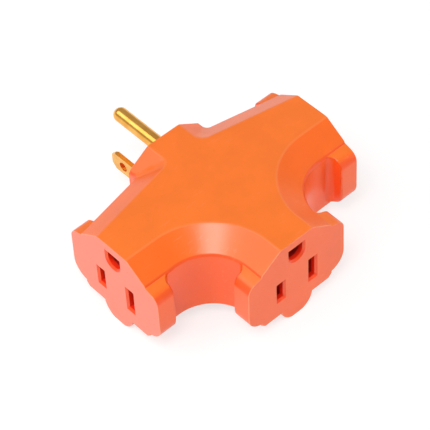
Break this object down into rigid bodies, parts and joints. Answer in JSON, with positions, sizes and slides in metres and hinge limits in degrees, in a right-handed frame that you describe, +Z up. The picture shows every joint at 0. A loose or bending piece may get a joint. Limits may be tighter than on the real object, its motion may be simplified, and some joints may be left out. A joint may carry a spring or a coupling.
{
  "type": "three-outlet plug adapter",
  "caption": "Cross-shaped moulded adapter with one grounded plug at the back and a grounded outlet on its left, front and right ends.",
  "frame": {"origin": "on the flat foot of the crossed keel ridges, below the crossing of the arms", "axes": "+X towards the right outlet, +Y along the plug blades and pin, away from the body, +Z up, from the keels to the plateau"},
  "size_m": [0.0794, 0.0789, 0.0334],
  "materials": {
    "orange_vinyl": "satin",
    "insulating_plastic": "matt",
    "spring_brass": "satin",
    "strip_brass": "satin",
    "plug_brass": "polished"
  },
  "bodies": {
    "root": {"body": "orange_vinyl", "left_contact_holder": "insulating_plastic", "front_contact_holder": "insulating_plastic", "right_contact_holder": "insulating_plastic", "plug_insert": "insulating_plastic", "bus_carrier": "insulating_plastic", "ground_insulator": "insulating_plastic", "left_hot_contact": "spring_brass", "left_neutral_contact": "spring_brass", "left_ground_contact": "spring_brass", "front_hot_contact": "spring_brass", "front_neutral_contact": "spring_brass", "front_ground_contact": "spring_brass", "right_hot_contact": "spring_brass", "right_neutral_contact": "spring_brass", "right_ground_contact": "spring_brass", "hot_bus": "strip_brass", "neutral_bus": "strip_brass", "ground_bus": "strip_brass", "hot_blade": "plug_brass", "neutral_blade": "plug_brass", "ground_pin": "plug_brass"}
  },
  "joints": []
}
